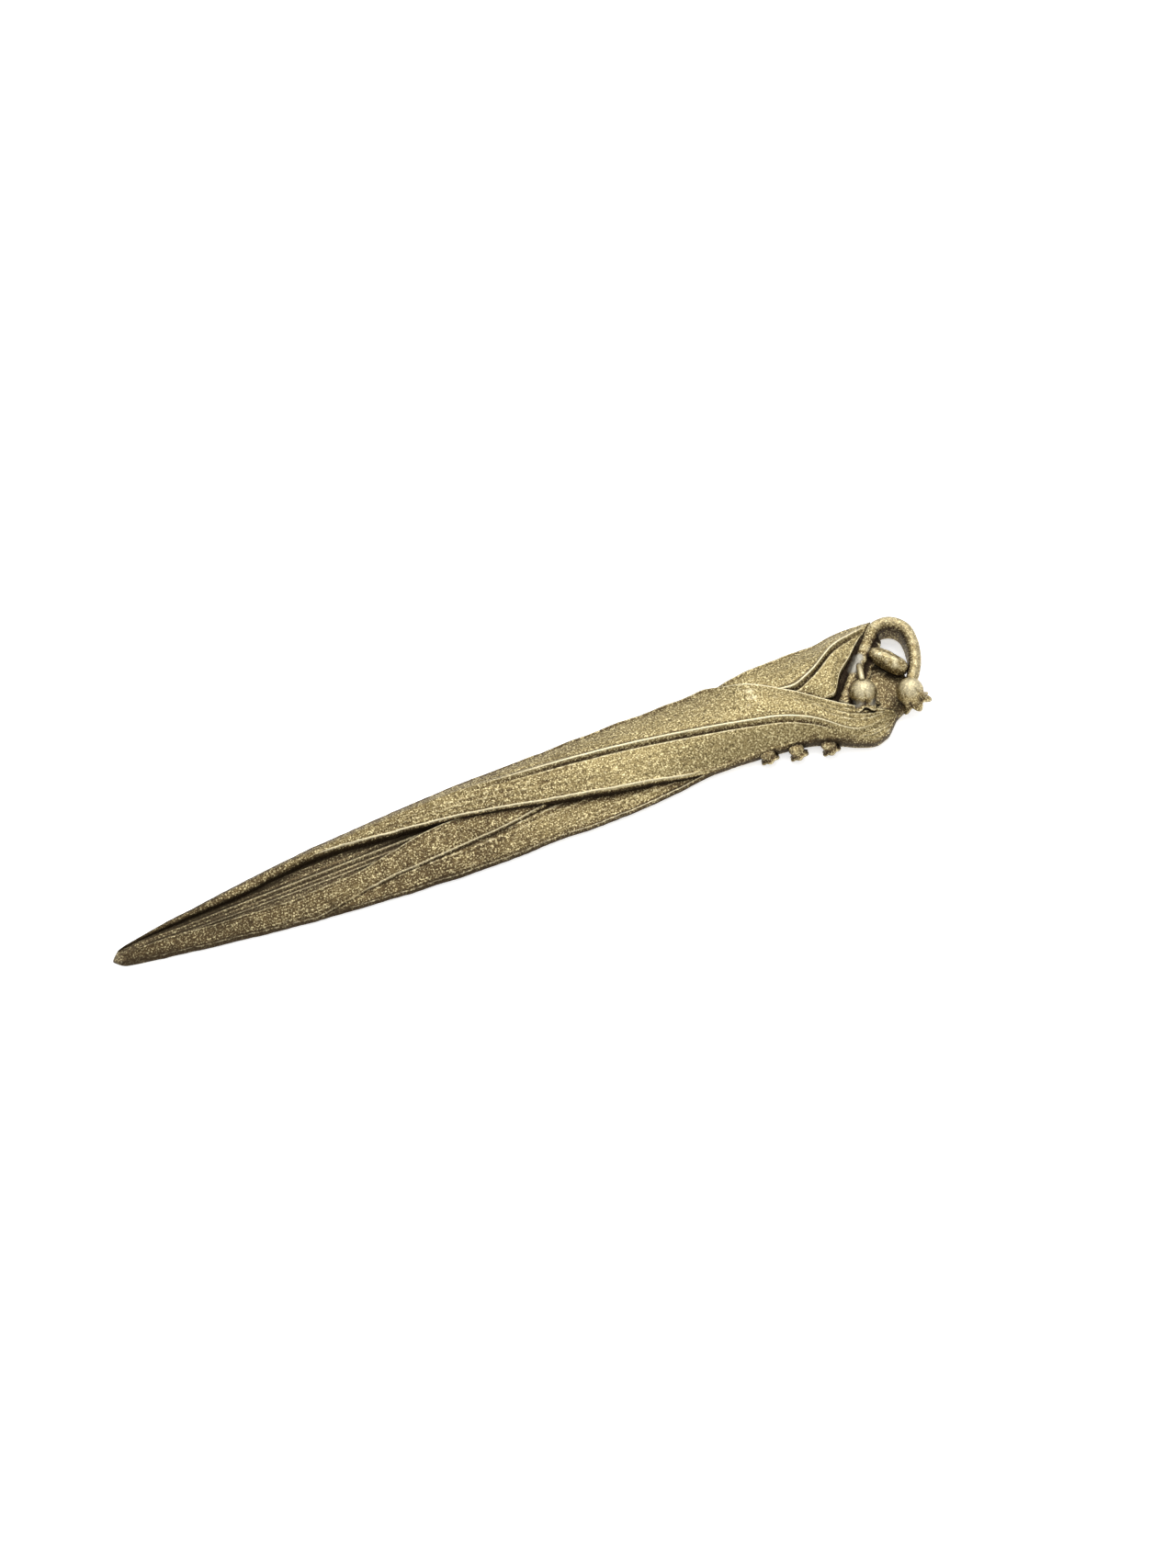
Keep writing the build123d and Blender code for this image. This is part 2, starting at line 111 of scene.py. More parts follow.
tipToBlade = bundle["bladeHeight"] - bundle["tipHeight"]
sway = curve(
    (0, bundle["tipSway"]),
    (0.4, 0.56 * bundle["tipSway"]),
    (0.72, 0.1 * bundle["tipSway"]),
    (1, bundle["waistSway"]),
    (1.45, bundle["waistSway"]),
    (1.83, bundle["headSway"]),
    (2, bundle["headSway"]),
)
halfWidth = curve(
    (0, bundle["pointWidth"] / 2),
    (0.02, bundle["tipWidth"] / 2),
    (0.145, 0.45 * bundle["bladeWidth"] / 2),
    (0.39, 0.81 * bundle["bladeWidth"] / 2),
    (0.7, bundle["bladeWidth"] / 2),
    (1, bundle["waistWidth"] / 2),
    (1.48, between(bundle["waistWidth"], bundle["headWidth"], 0.35) / 2),
    (1.83, bundle["headWidth"] / 2),
    (2, 0.95 * bundle["headWidth"] / 2),
)
bundleHeight = curve(
    (0, bundle["tipHeight"]),
    (0.125, bundle["tipHeight"] + 0.3 * tipToBlade),
    (0.375, bundle["tipHeight"] + 0.65 * tipToBlade),
    (0.75, bundle["bladeHeight"]),
    (1, bundle["waistHeight"]),
    (1.7, bundle["handleHeight"]),
    (2, bundle["headHeight"]),
)


def across(x, share):
    return sway(x) + share * halfWidth(x)


def bump(distance, width):
    return math.exp(-((distance / width) ** 2))


def lumps(x, y, size, seed):
    return noise.noise(Vector((x / size, y / size, seed)))


mend = {"merge": 0.001, "sliver": 0.0005}  # distances in millimetres


def finishPiece(bm, name, node, slotName):
    # millimetres to metres, one closed shell, smooth shading, shown in place of the CAD node, which is
    # hidden
    bmesh.ops.remove_doubles(bm, verts=bm.verts, dist=mend["merge"])
    bmesh.ops.dissolve_degenerate(bm, edges=bm.edges, dist=mend["sliver"])
    bmesh.ops.holes_fill(bm, edges=[edge for edge in bm.edges if edge.is_boundary], sides=0)
    bmesh.ops.recalc_face_normals(bm, faces=bm.faces)
    bmesh.ops.scale(bm, vec=(mm, mm, mm), verts=bm.verts)
    for face in bm.faces:
        face.smooth = True
    mesh = bpy.data.meshes.new(name)
    bm.to_mesh(mesh)
    bm.free()
    piece = bpy.data.objects.new(name, mesh)
    bpy.context.scene.collection.objects.link(piece)
    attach(piece, "root")
    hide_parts(node)
    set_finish(piece, slotName)
    return piece


def wrapGrid(rows, loop):
    # a grid rolled into a closed tube: loop(row) gives the points round one cross section
    sections = [loop(row / rows) for row in range(rows + 1)]
    columns = len(sections[0]) - 1
    bm = bmesh.new()
    bmesh.ops.create_grid(bm, x_segments=rows, y_segments=columns, size=1)
    for vert in bm.verts:
        row = round((vert.co.x + 1) / 2 * rows)
        column = round((vert.co.y + 1) / 2 * columns)
        vert.co = sections[row][column]
    return bm


# The ground that all leaves stand on, with the open valley near the tip
ground = {
    "rows": 420,
    "columns": 110,
    "backSteps": 6,
    "crowding": 1.15,  # over 1, rows crowd towards the tip
    "low": 0.12,  # underside of its edge, as a share of the height
    "high": 0.27,  # top of its edge
    "flat": 0.5,  # share of the width that lies on the table
    "nose": 2.2,  # millimetres of rounding at the tip
    "noseLeast": 0.12,
    "shoulder": 0.6,  # share of the half width where the top begins to fall to the edge
    "camber": 0.1,
    "fall": 1.6,
    "top": curve(
        (0, 1.0), (0.06, 0.7), (0.14, 0.42), (0.25, 0.36), (1, 0.4),
        (1.84, 0.44), (1.94, 0.58), (2, 0.56), (2.1, 0.44),
    ),
    "far": curve(
        (0, 1), (0.1, 0.92), (1.75, 0.92), (1.94, 0.84), (2, 0.66), (2.03, 0.36), (2.06, 0.26), (2.1, 0.1)
    ),
    "near": curve(
        (0, -1), (0.1, -0.92), (0.72, -0.92), (0.86, -1.06), (0.94, -1.1), (1, -1.05), (1.18, -0.9),
        (1.35, -0.8), (1.64, -0.7), (1.78, -0.8), (1.85, -0.9), (1.94, -0.8), (2, -0.7), (2.05, -0.6),
        (2.1, -0.45),
    ),
    "ribAt": curve((0.03, 0.4), (0.16, 0.3), (0.4, 0.23), (0.62, 0.25)),
    "ribRise": curve((0.02, 0.0), (0.1, 0.7), (0.4, 0.85), (0.6, 0.3)),
    "ribWidth": 0.6,
    "veinRise": curve((0.02, 0.06), (0.1, 0.26), (0.4, 0.34), (0.6, 0.15)),
    "veinWidth": 0.3,
    "veinGap": curve((0.02, 0.4), (0.2, 0.9), (0.5, 1.2)),
    "veins": {-2.3: 1.0, -1.2: 0.8, 1.6: 0.35, 3.2: 0.3},  # side ridges and their strength
    "lumps": 0.1,
    "lumpSize": 4,
    "seed": 1.5,
}


def groundLoop(share):
    x = between(groundLow.x, groundHigh.x, share ** ground["crowding"])
    inFromTip = min(1, (x - groundLow.x) / ground["nose"])
    nose = max(ground["noseLeast"], math.sqrt(1 - (1 - inFromTip) ** 2))
    height = bundleHeight(x)
    top = ground["top"](x) * height * nose
    far, near = (across(x, ground[side](x) * nose) for side in ("far", "near"))
    middle, half = (far + near) / 2, (far - near) / 2
    low, high = ground["low"] * height * nose, ground["high"] * height * nose
    flatFar, flatNear = middle + ground["flat"] * half, middle - ground["flat"] * half
    rib = across(x, ground["ribAt"](x))
    points = [(flatNear, 0), (near, low), (near, between(low, high, 0.5))]
    for column in range(ground["columns"] + 1):
        side = 2 * column / ground["columns"] - 1
        y = middle + side * half
        inner = min(1, abs(side) / ground["shoulder"])
        outer = max(0, abs(side) - ground["shoulder"]) / (1 - ground["shoulder"])
        z = top * (1 - ground["camber"] * inner**2)
        z += (high - (1 - ground["camber"]) * top) * outer ** ground["fall"]
        z += ground["ribRise"](x) * bump(y - rib, ground["ribWidth"])
        for line, strength in ground["veins"].items():
            offset = y - rib - line * ground["veinGap"](x)
            z += strength * ground["veinRise"](x) * bump(offset, ground["veinWidth"])
        z += ground["lumps"] * lumps(x, y, ground["lumpSize"], ground["seed"]) * nose
        points.append((y, z))
    points += [(far, between(low, high, 0.5)), (far, low), (flatFar, 0)]
    steps = ground["backSteps"]
    points += [(between(flatFar, flatNear, k / steps), 0) for k in range(1, steps + 1)]
    return [Vector((x, y, z)) for y, z in points]


pieces = [finishPiece(wrapGrid(ground["rows"], groundLoop), "bladeGround", "blade", "patinated_ground")]
print("ground done")

# Relief shared by the leaves, in millimetres
relief = {
    "crowding": 0.6,  # how far columns crowd at a leaf's edge and midrib
    "ribRise": 0.62,
    "ribWidth": 0.6,
    "grooveAt": 1.2,
    "grooveWidth": 0.4,
    "nearGroove": 0.52,  # depth of the groove on the near side of a midrib
    "farGroove": 0.12,
    "veinCount": 5,  # on each half of a leaf
    "veinReach": 6,  # half width from which the veins have their full height
    "lip": 0.5,  # rounding of a leaf's edge
    "lipRise": 0.28,
    "lipAt": 0.6,
    "lipWidth": 0.35,
    "lipReach": 4,  # half width from which the lip has its full height
    "swell": 0.5,
    "wave": 0.25,  # long waves of an edge
    "waveSize": 7,
    "nick": 0.1,  # and short ones
    "nickSize": 2,
    "lumps": ((0.12, 6), (0.05, 1.6)),  # height and size
    "root": 0.16,  # how deep a leaf stands in the ground, as a share of the height
    "under": 0.195,  # underside of a leaf that stands over the ground's edge
}
rooted = curve((0, relief["root"]), (2, relief["root"]))
raised = curve((0, relief["under"]), (2, relief["under"]))

# The broad leaf that wraps the head and runs along the far edge to the tip
wrapLeaf = {
    "node": "wrap_leaf",
    # edges with a bright painted highlight line where they are rubbed, as side, start, end and strength
    "lit": (("near", 0.36, 1.16, 0.8), ("far", 1.32, 1.95, 0.9)),
    # edges darkened with painted shade, as side, start and end
    "shadedEdges": (("far", 0, 1.3), ("near", 1.14, 2)),
    "shadeTone": -0.02,  # painted shade over the whole leaf; below zero it is lighter
    "from": 0.012,
    "to": 1.985,
    "rows": 420,
    "columns": 62,
    "seed": 3.1,
    "far": curve(
        (0.03, 0.92), (0.15, 1), (1.25, 1), (1.36, 0.78), (1.6, 0.16), (1.8, -0.28), (1.985, -0.6)
    ),
    "near": curve(
        (0.03, 0.66), (0.14, 0.62), (0.24, 0.54), (0.36, 0.63), (0.5, 0.42), (0.68, 0.07), (0.82, -0.36),
        (0.93, -0.74), (1.16, -1), (1.3, -0.96), (1.45, -0.94), (1.63, -0.86), (1.7, -0.88), (1.78, -0.95),
        (1.85, -1.01), (1.91, -0.96), (1.985, -0.74),
    ),
    "rib": curve(
        (0.03, 0.79), (0.24, 0.8), (0.62, 0.74), (0.78, 0.56), (1, 0.1),
        (1.42, -0.32), (1.62, -0.52), (1.8, -0.78), (1.985, -0.67),
    ),
    "farTop": curve((0.03, 0.7), (0.2, 0.45), (1.25, 0.42), (1.45, 0.88), (1.9, 0.66), (1.985, 0.5)),
    "nearTop": curve((0.03, 0.85), (0.9, 0.8), (1.2, 0.42), (1.9, 0.5), (1.985, 0.4)),
    "ribTop": curve((0.03, 0.9), (0.5, 0.96), (1.6, 0.98), (1.8, 0.78), (1.92, 0.66), (1.985, 0.48)),
    "ribSize": curve((0.55, 0.03), (0.7, 0.35), (0.86, 0.85), (1.1, 1), (1.6, 1), (1.85, 0.3)),
    "swell": curve((0.03, 0.1), (0.4, 0.7), (1, 1), (1.5, 1.6), (1.985, 0.3)),
    "veins": curve(
        (0.1, 0.02), (0.4, 0.06), (0.7, 0.06), (0.9, 0.02), (1.6, 0.02), (1.85, 0.1), (1.985, 0.1)
    ),
    "farUnder": curve((1.25, relief["under"]), (1.45, relief["root"])),
    "nearUnder": curve((0.85, relief["root"]), (1.1, relief["under"])),
    "rootAt": rooted,
}

# The leaf behind it, which sweeps up to the loop with its near edge free
upperLeaf = {
    "node": "upper_leaf",
    "lit": (("near", 1.7, 2.06, 0.7),),
    "shadedEdges": (("far", 1.27, 2.06),),
    # painted shade over the whole leaf; below zero it is lighter
    "shadeTone": -0.03,
    "from": 1.27,
    "to": 2.06,
    "rows": 180,
    "columns": 56,
    "seed": 5.7,
    "far": curve((1.27, 0.85), (1.5, 1), (1.78, 0.95), (1.95, 1.07), (2.02, 1.08), (2.06, 1.04)),
    "near": curve(
        (1.27, 0.5), (1.5, 0.1), (1.68, -0.15), (1.76, -0.12), (1.83, 0.2), (1.9, 0.43),
        (1.97, 0.7), (2.06, 0.98),
    ),
    "rib": curve((1.27, 0.65), (1.5, 0.3), (1.61, 0.22), (1.7, 0.36), (1.86, 0.73), (2.06, 1.01)),
    "farTop": curve((1.27, 0.4), (1.9, 0.4), (2.06, 0.6)),
    "nearTop": curve((1.27, 0.5), (1.65, 0.6), (1.78, 0.82), (2.06, 0.75)),
    "ribTop": curve((1.27, 0.55), (1.5, 0.7), (1.62, 0.82), (1.8, 0.88), (2.06, 0.72)),
    "ribSize": curve((1.27, 0.2), (1.6, 1), (1.85, 1), (2.06, 0.2)),
    "swell": curve((1.27, 0.4), (1.6, 1), (1.9, 0.6), (2.06, 0.1)),
    "veins": curve((1.27, 0.02), (1.6, 0.03), (2.06, 0.03)),
    "farUnder": curve((1.9, relief["under"]), (2.06, 0.4)),
    "nearUnder": curve((1.9, relief["root"]), (2.06, 0.4)),
    "rootAt": curve((1.9, relief["root"]), (2.06, 0.4)),
}

# The leaf that comes out from under the wrapping leaf and forms the near half of the blade
innerLeaf = {
    "node": "inner_leaf",
    "lit": (("near", 0.4, 0.8, 0.55),),
    "shadedEdges": (("near", 0, 0.38),),
    # painted shade over the whole leaf; below zero it is lighter
    "shadeTone": 0.05,
    "from": 0.012,
    "to": 0.8,
    "rows": 260,
    "columns": 36,
    "seed": 7.3,
    "far": curve(
        (0.03, 0.2), (0.07, 0.16), (0.175, -0.11), (0.29, -0.23), (0.43, -0.13), (0.5, 0.06), (0.6, 0.25),
        (0.8, 0.2),
    ),
    "near": curve(
        (0.03, -0.95), (0.12, -1), (0.33, -1), (0.4, -0.8), (0.49, -0.57), (0.6, -0.44), (0.72, -0.33),
        (0.8, -0.2),
    ),
    "rib": curve((0.03, -0.4), (0.3, -0.6), (0.5, -0.28), (0.65, -0.1), (0.8, 0)),
    "farTop": curve((0.03, 0.9), (0.15, 0.74), (0.4, 0.68), (0.8, 0.6)),
    "nearTop": curve((0.03, 0.7), (0.12, 0.42), (0.34, 0.34), (0.5, 0.47), (0.8, 0.56)),
    "ribTop": curve((0.03, 0.88), (0.15, 0.7), (0.4, 0.64), (0.8, 0.62)),
    "ribSize": curve((0.03, 0.05), (0.8, 0.05)),
    "swell": curve((0.03, 0.1), (0.3, 0.5), (0.8, 0.3)),
    "veins": curve((0.03, 0.03), (0.3, 0.06), (0.5, 0.03), (0.8, 0.02)),
    "farUnder": rooted,
    "nearUnder": curve((0.33, relief["under"]), (0.4, relief["root"])),
    "rootAt": rooted,
}

# The leaf along the near edge
underLeaf = {
    "node": "under_leaf",
    "lit": (),
    "shadedEdges": (("near", 0.34, 1.24),),
    # painted shade over the whole leaf; below zero it is lighter
    "shadeTone": 0.08,
    "from": 0.34,
    "to": 1.24,
    "rows": 240,
    "columns": 36,
    "seed": 9.9,
    "far": curve((0.34, -0.85), (0.47, -0.3), (0.62, -0.1), (0.87, 0), (1.24, -0.3)),
    "near": curve(
        (0.34, -0.985), (0.4, -1), (0.76, -1), (0.86, -1.15), (0.94, -1.21), (1, -1.16), (1.09, -1.08),
        (1.18, -0.99), (1.24, -0.9),
    ),
    "rib": curve((0.34, -0.92), (0.47, -0.7), (0.87, -0.7), (1.24, -0.6)),
    "farTop": curve((0.34, 0.4), (0.6, 0.45), (1.24, 0.42)),
    "nearTop": curve((0.34, 0.33), (1.24, 0.33)),
    "ribTop": curve((0.34, 0.38), (0.6, 0.44), (1.24, 0.4)),
    "ribSize": curve((0.34, 0.05), (1.24, 0.05)),
    "swell": curve((0.34, 0.1), (0.6, 0.3), (1.24, 0.2)),
    "veins": curve((0.34, 0.02), (0.6, 0.05), (1.24, 0.03)),
    "farUnder": rooted,
    "nearUnder": raised,
    "rootAt": rooted,
}


def edgeAt(x, leaf, side):
    wave = relief["wave"] * lumps(x, 0, relief["waveSize"], leaf["seed"] + len(side))  # differs by side
    nick = relief["nick"] * lumps(x, 0, relief["nickSize"], leaf["seed"])
    return across(x, leaf[side](x)) + wave + nick


def leafTop(x, leaf, margin, rib, groove, share):
    # a point on one half of a leaf, 0 at its edge and 1 at its midrib
    reach = abs(rib.x - margin.x)
    fromEdge, fromRib = share * reach, (1 - share) * reach
    y = between(margin.x, rib.x, share)
    hump = 4 * share * (1 - share)
    z = between(margin.y, rib.y, share) + relief["swell"] * leaf["swell"](x) * hump
    ribSize = leaf["ribSize"](x)
    z += ribSize * relief["ribRise"] * bump(fromRib, relief["ribWidth"])
    z -= ribSize * relief[groove] * bump(fromRib - relief["grooveAt"], relief["grooveWidth"])
    veins = math.sin(share * relief["veinCount"] * math.tau) * math.sin(math.pi * share)
    z += leaf["veins"](x) * min(1, reach / relief["veinReach"]) * veins
    lip = bump(fromEdge - relief["lipAt"], relief["lipWidth"])
    z += relief["lipRise"] * min(1, reach / relief["lipReach"]) * lip
    inside = min(1, fromEdge / relief["lip"])
    z -= relief["lip"] * (1 - math.sqrt(1 - (1 - inside) ** 2))
    for rise, size in relief["lumps"]:
        z += rise * lumps(x, y, size, leaf["seed"])
    return y, z


def leafLoop(leaf):
    start, end = along(leaf["from"]), along(leaf["to"])
    even = [k / leaf["columns"] for k in range(leaf["columns"] + 1)]
    shares = [step - relief["crowding"] * math.sin(math.tau * step) / math.tau for step in even]

    def loop(row):
        x = between(start, end, row)
        height = bundleHeight(x)
        far, near = (
            Vector((edgeAt(x, leaf, side), leaf[side + "Top"](x) * height)) for side in ("far", "near")
        )
        rib = Vector((across(x, leaf["rib"](x)), leaf["ribTop"](x) * height))
        nearFoot = Vector((near.x, leaf["nearUnder"](x) * height))
        farFoot = Vector((far.x, leaf["farUnder"](x) * height))
        top = [leafTop(x, leaf, near, rib, "nearGroove", share) for share in shares]
        top += [leafTop(x, leaf, far, rib, "farGroove", share) for share in reversed(shares[:-1])]
        points = [tuple(nearFoot), (near.x, between(nearFoot.y, top[0][1], 0.5))]
        points += top
        points += [(far.x, between(farFoot.y, top[-1][1], 0.5)), tuple(farFoot)]
        points += [(rib.x, leaf["rootAt"](x) * height), tuple(nearFoot)]
        return [Vector((x, y, z)) for y, z in points]

    return loop


leaves = {"wrapLeaf": wrapLeaf, "upperLeaf": upperLeaf, "innerLeaf": innerLeaf, "underLeaf": underLeaf}
for name, leaf in leaves.items():
    pieces.append(finishPiece(wrapGrid(leaf["rows"], leafLoop(leaf)), name, leaf["node"], "gilt_leaf"))
print("leaves done")

# The flower stem: a straight run out of the leaves, the hanging loop and a drooping tail
stem = {
    "diameter": 3.9,
    "loopBore": 7.3,
    "run": 24.0,
    "heading": math.radians(48),
    "tailBend": 21.0,
    "tailTurn": math.radians(46),
    "tailThins": 0.12,
    "wallEnds": (0.4, 0.7),  # shares of the tail between which the wall under the loop dies out
    "boxy": 0.3,  # how square that wall is, 1 being round
    "runFoot": 5.5,  # height at which the run spreads over the ground
    "runFlare": 1.6,
    "runSquash": 0.55,
    "runLumps": 0.12,
    "loopLumps": 0.03,
    "lumpSize": 2,
    "seed": 2.2,
    "blendBefore": 4,  # steps before the loop at which the run begins to round up
    "blendSteps": 12,
    "runSteps": 48,
    "loopSteps": 60,
    "tailSteps": 24,
    "segments": 44,
}
stemRadius = stem["diameter"] / 2
loopRadius = stem["loopBore"] / 2 + stemRadius
loopMiddle = stemHigh - Vector((loopRadius + stemRadius, loopRadius + stemRadius, stemRadius))


def tube(path, radii, segments, skirts=None):
    # a round bar along a path: one circle, extruded from point to point
    # a skirt (share, foot, flare, squash) draws the lower half down to a foot and spreads it,
    # and flattens the upper half
    bm = bmesh.new()
    ring = bmesh.ops.create_circle(bm, segments=segments, radius=1)["verts"]
    rest = [vert.co.copy() for vert in ring]
    for k, (point, radius) in enumerate(zip(path, radii)):
        if k:
            edges = {edge for vert in ring for edge in vert.link_edges if not edge.is_manifold}
            made = bmesh.ops.extrude_edge_only(bm, edges=list(edges))["geom"]
            fresh = [item for item in made if isinstance(item, bmesh.types.BMVert)]
            ring = [min(fresh, key=lambda vert: (vert.co - old.co).length) for old in ring]
        heading = (path[min(k + 1, len(path) - 1)] - path[max(k - 1, 0)]).normalized()
        side = heading.cross(Vector((0, 0, 1))).normalized()
        lift = side.cross(heading)
        share, foot, flare, squash = skirts[k] if skirts else (0, 0, 0, 1)
        for vert, place in zip(ring, rest):
            out, rise = radius * place.x, radius * place.y
            if place.y < 0:
                depth = abs(place.y) ** stem["boxy"]
                wide = (1 + flare * depth) * math.copysign(abs(place.x) ** stem["boxy"], place.x)
                out = between(out, radius * wide, share)
                rise = between(rise, (foot - point.z) * depth, share)
            else:
                rise *= squash
            vert.co = point + side * out + lift * rise
    return bm


def arc(middle, start, turn, steps):
    spoke = start - middle
    return [middle + Matrix.Rotation(turn * k / steps, 3, "Z") @ spoke for k in range(1, steps + 1)]


runHeading = Vector((math.cos(stem["heading"]), math.sin(stem["heading"]), 0))
loopStart = loopMiddle + loopRadius * Vector((-runHeading.y, runHeading.x, 0))
runStart = loopStart - stem["run"] * runHeading
stemPath = [between(runStart, loopStart, k / stem["runSteps"]) for k in range(stem["runSteps"] + 1)]
stemPath += arc(loopMiddle, loopStart, -stem["heading"] - math.pi / 2, stem["loopSteps"])
tailMiddle = stemPath[-1] - Vector((stem["tailBend"], 0, 0))
tailFrom = len(stemPath)
stemPath += arc(tailMiddle, stemPath[-1], -stem["tailTurn"], stem["tailSteps"])
stemEnd = stemPath[-1]
wallStart, wallEnd = stem["wallEnds"]
stemRadii, stemSkirts = [], []
for k, point in enumerate(stemPath):
    inTail = max(0, k - tailFrom) / stem["tailSteps"]
    thin = 1 - stem["tailThins"] * inTail
    onLoop = min(1, max(0, (k - stem["runSteps"] + stem["blendBefore"]) / stem["blendSteps"]))
    rough = between(stem["runLumps"], stem["loopLumps"], onLoop)
    dent = lumps(point.x, point.y, stem["lumpSize"], stem["seed"])
    stemRadii.append(stemRadius * thin * (1 - rough + rough * dent))
    wall = min(1, max(0, (wallEnd - inTail) / (wallEnd - wallStart)))
    foot = between(stem["runFoot"], stemLow.z, onLoop)
    flare = between(stem["runFlare"], 0, onLoop)
    squash = between(stem["runSquash"], 1, onLoop)
    stemSkirts.append((wall, foot, flare, squash))
bm = tube(stemPath, stemRadii, stem["segments"], stemSkirts)
pieces.append(finishPiece(bm, "flowerStem", "flower_stem", "bronze_flower"))
print("stem done")

# Bell flowers: dome, drawn-in neck and a flared rim of six lobes
bells = {
    "wall": 0.8,
    "neckAt": 0.58,  # share of the depth where the neck is drawn in
    "neckDraw": 0.14,  # and by how much of the dome's radius
    "throat": 0.45,  # width of the throat, as a share of the dome's
    "throatCurve": 0.7,
    "floor": 0.3,  # where the throat ends, as a share of the depth
    "lobes": 6,
    "flare": 1.6,  # the more, the nearer to the rim the lobes begin
    "crease": 0.042,
    "creaseSharp": 4,
    "lowest": 0.15,  # room over the table
    "lipTurns": (0.6, 1.57, 2.5),  # angles round the lip
    "domeSteps": 12,
    "neckSteps": 12,
    "throatSteps": 8,
    "steps": 84,
}
rightBell = {
    "crown": 3.9,
    "rim": 4.3,
    "depth": 3.7,
    "mouth": (0.27, -0.56, -0.78),
    "lobeReach": 0.13,
    "lobeDip": 0.45,
    "pressed": 0,
    "shift": (-1.2, -2.8, 1.0),  # from the end of the stem
}
leftBell = {
    "crown": 4.0,
    "rim": 4.4,
    "depth": 3.2,
    "mouth": (-0.15, -0.6, -0.78),
    "lobeReach": 0.13,
    "lobeDip": 0.45,
    "pressed": 0,
    "seat": (1.882, -0.22, 7.0),  # station, share of the half width, height
}
sideBell = {
    "crown": 2.3,
    "rim": 2.75,
    "depth": 2.2,
    "mouth": (0.2, -0.6, -0.77),
    "lobeReach": 0.05,
    "lobeDip": 0.1,
    "pressed": 0.6,  # how far its upper half is pressed down under the leaf's lip
    "seats": ((1.41, -0.89, 3.4), (1.53, -0.945, 3.4), (1.665, -0.866, 3.4)),
}


def bell(shape, middle):
    crown, rim, depth = shape["crown"], shape["rim"], shape["depth"]
    profile = []
    for k in range(bells["domeSteps"] + 1):
        angle = math.pi / 2 * k / bells["domeSteps"]
        profile.append(Vector((crown * math.sin(angle), 0, -crown * math.cos(angle))))
    square, cube = bells["neckAt"] ** 2, bells["neckAt"] ** 3
    draw = (-bells["neckDraw"] * crown - cube * (rim - crown)) / (square - cube)
    for k in range(1, bells["neckSteps"] + 1):
        share = k / bells["neckSteps"]
        out = crown + draw * share**2 + (rim - crown - draw) * share**3
        profile.append(Vector((out, 0, depth * share)))
    lip = bells["wall"] / 2
    for angle in bells["lipTurns"]:
        profile.append(Vector((rim - lip + lip * math.cos(angle), 0, depth + lip * math.sin(angle))))
    throat, floor = bells["throat"] * crown, bells["floor"] * depth
    for k in range(1, bells["throatSteps"] + 1):
        share = k / bells["throatSteps"]
        out = between(rim - 2 * lip, throat, share ** bells["throatCurve"])
        profile.append(Vector((out, 0, between(depth, floor, share))))
    profile.append(Vector((0, 0, floor)))
    bm = bmesh.new()
    verts = [bm.verts.new(point) for point in profile]
    edges = [bm.edges.new(pair) for pair in zip(verts, verts[1:])]
    bmesh.ops.spin(
        bm, geom=verts + edges, cent=(0, 0, 0), axis=(0, 0, 1),
        angle=math.tau, steps=bells["steps"], use_merge=True,
    )
    for vert in bm.verts:
        angle = math.atan2(vert.co.y, vert.co.x)
        petal = math.cos(bells["lobes"] * angle)
        flare = max(0, vert.co.z / depth) ** bells["flare"]
        inDome = min(1, max(0, (vert.co.z + crown) / crown))
        crease = bells["crease"] * max(0, -petal) ** bells["creaseSharp"] * inDome
        scale = 1 + flare * shape["lobeReach"] * petal - crease
        dip = flare * shape["lobeDip"] * petal
        vert.co = Vector((vert.co.x * scale, vert.co.y * scale, vert.co.z + dip))
    turn = Vector(shape["mouth"]).to_track_quat("Z", "Y").to_matrix().to_4x4()
    bmesh.ops.transform(bm, matrix=Matrix.Translation(middle) @ turn, verts=bm.verts)
    for vert in bm.verts:
        vert.co.z = max(vert.co.z, bells["lowest"])
        vert.co.z -= shape["pressed"] * max(0, vert.co.z - middle.z)
    return bm


def seat(station, share, level):
    x = along(station)
    return Vector((x, across(x, share), level))


rightMiddle = stemEnd + Vector(rightBell["shift"])
leftMiddle = seat(*leftBell["seat"])
pieces.append(finishPiece(bell(rightBell, rightMiddle), "rightBell", "right_bell", "bronze_flower"))
pieces.append(finishPiece(bell(leftBell, leftMiddle), "leftBell", "left_bell", "bronze_flower"))
for number, place in enumerate(sideBell["seats"], start=1):
    bm = bell(sideBell, seat(*place))
    pieces.append(finishPiece(bm, f"sideBell{number}", f"side_bell_{number}", "bronze_flower"))

# The stalk of the left bell, bent from its dome to the stem
stalk = {
    "radius": 0.85,
    "sunk": 0.3,  # how deep it stands in the dome
    "heading": (0.2, 0.9, 0.25),  # as it comes out of the dome
    "knee": 3.5,  # distance from the dome to the bend
    "joins": 0.55,  # share of the stem's run
    "steps": 16,
    "segments": 20,
}
stalkStart = leftMiddle - Vector(leftBell["mouth"]).normalized() * (leftBell["crown"] - stalk["sunk"])
stalkKnee = stalkStart + Vector(stalk["heading"]).normalized() * stalk["knee"]
stalkEnd = between(runStart, loopStart, stalk["joins"])
stalkPath = []
for k in range(stalk["steps"] + 1):
    share = k / stalk["steps"]
    first, second = between(stalkStart, stalkKnee, share), between(stalkKnee, stalkEnd, share)
    stalkPath.append(between(first, second, share))
bm = tube(stalkPath, [stalk["radius"]] * len(stalkPath), stalk["segments"])
pieces.append(finishPiece(bm, "leftBellStalk", "left_bell_stalk", "bronze_flower"))

